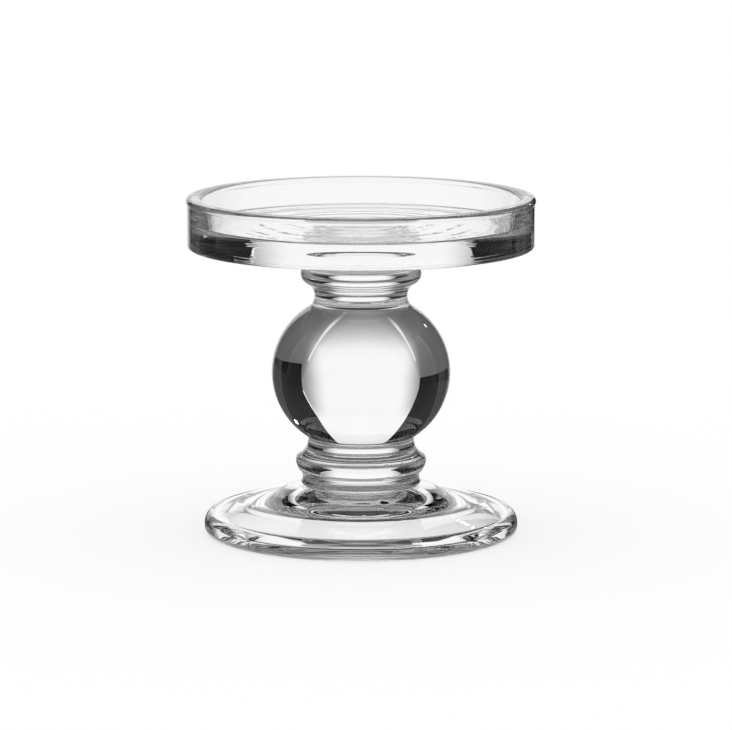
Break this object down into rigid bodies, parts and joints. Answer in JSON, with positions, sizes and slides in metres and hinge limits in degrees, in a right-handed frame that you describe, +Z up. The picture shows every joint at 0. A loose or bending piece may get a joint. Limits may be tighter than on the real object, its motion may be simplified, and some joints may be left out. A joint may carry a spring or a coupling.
{
  "type": "pillar candle holder",
  "caption": "Clear glass pillar candle holder: a shallow walled dish on a ball stem with turned collars and a round foot, hollowed underneath.",
  "frame": {"origin": "centre of the flat ring that the foot stands on, at the height of the table", "axes": "+Z up along the axis of revolution, from the foot to the candle dish; X and Y are free, because the part is round"},
  "size_m": [0.095, 0.095, 0.0924],
  "materials": {
    "foot_glass": "fire polished, clear",
    "lower_collar_glass": "fire polished, clear",
    "ball_glass": "fire polished, clear",
    "upper_collar_glass": "fire polished, clear",
    "dish_glass": "fire polished, clear"
  },
  "bodies": {
    "root": {"foot": "foot_glass", "lower_collar": "lower_collar_glass", "ball": "ball_glass", "upper_collar": "upper_collar_glass", "candle_dish": "dish_glass"}
  },
  "joints": []
}
